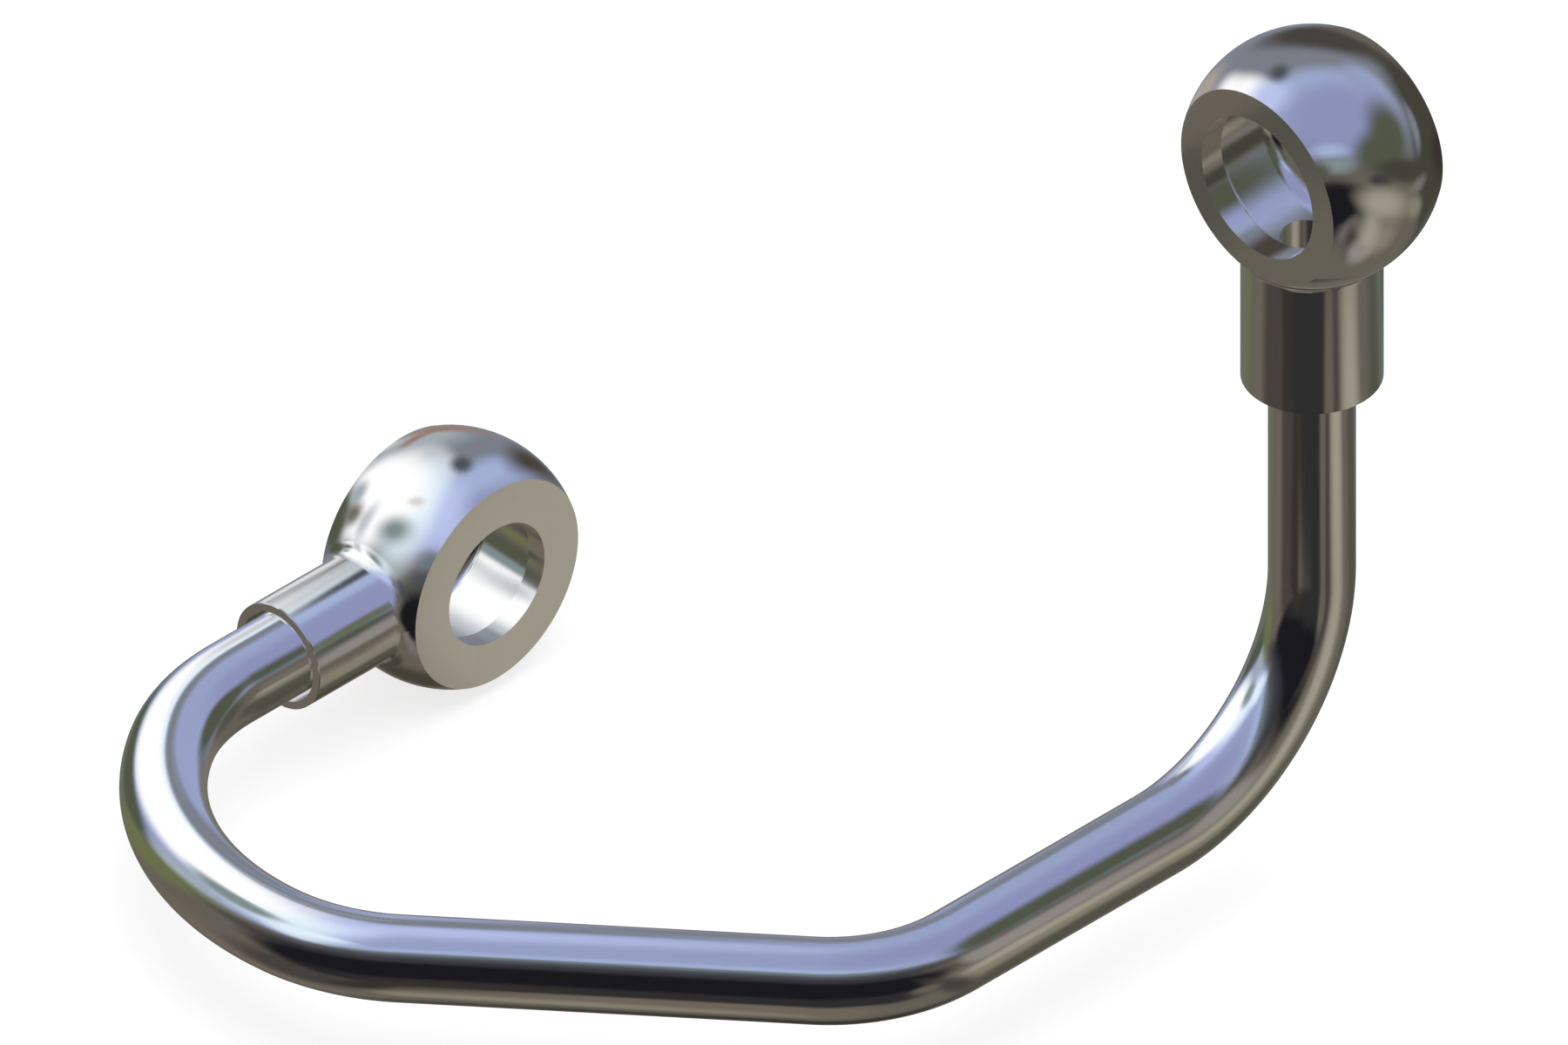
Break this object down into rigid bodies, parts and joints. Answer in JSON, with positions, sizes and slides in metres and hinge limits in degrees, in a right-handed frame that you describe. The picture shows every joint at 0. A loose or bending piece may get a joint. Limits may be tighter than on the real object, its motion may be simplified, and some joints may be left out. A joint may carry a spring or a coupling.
{
  "type": "fuel drain tube",
  "caption": "Rigid metal fuel drain tube: a wide flat hook, an elbow and an upright riser, with a ball-shaped banjo fitting brazed on each end.",
  "frame": {"origin": "middle of the left fitting's bolt bore", "axes": "+X along the left bolt bore, the left neck points to -Y, +Z along the riser and up; the right bolt bore lies along Y"},
  "size_m": [0.0939, 0.0976, 0.0892],
  "materials": {
    "tube_steel": "bright plated, drawn tube",
    "fitting_steel": "bright plated, turned and milled",
    "braze_filler": "brazing filler, as melted"
  },
  "bodies": {
    "root": {"bent_tube": "tube_steel", "left_banjo_fitting": "fitting_steel", "right_banjo_fitting": "fitting_steel", "left_braze_ring": "braze_filler", "right_braze_ring": "braze_filler"}
  },
  "joints": []
}
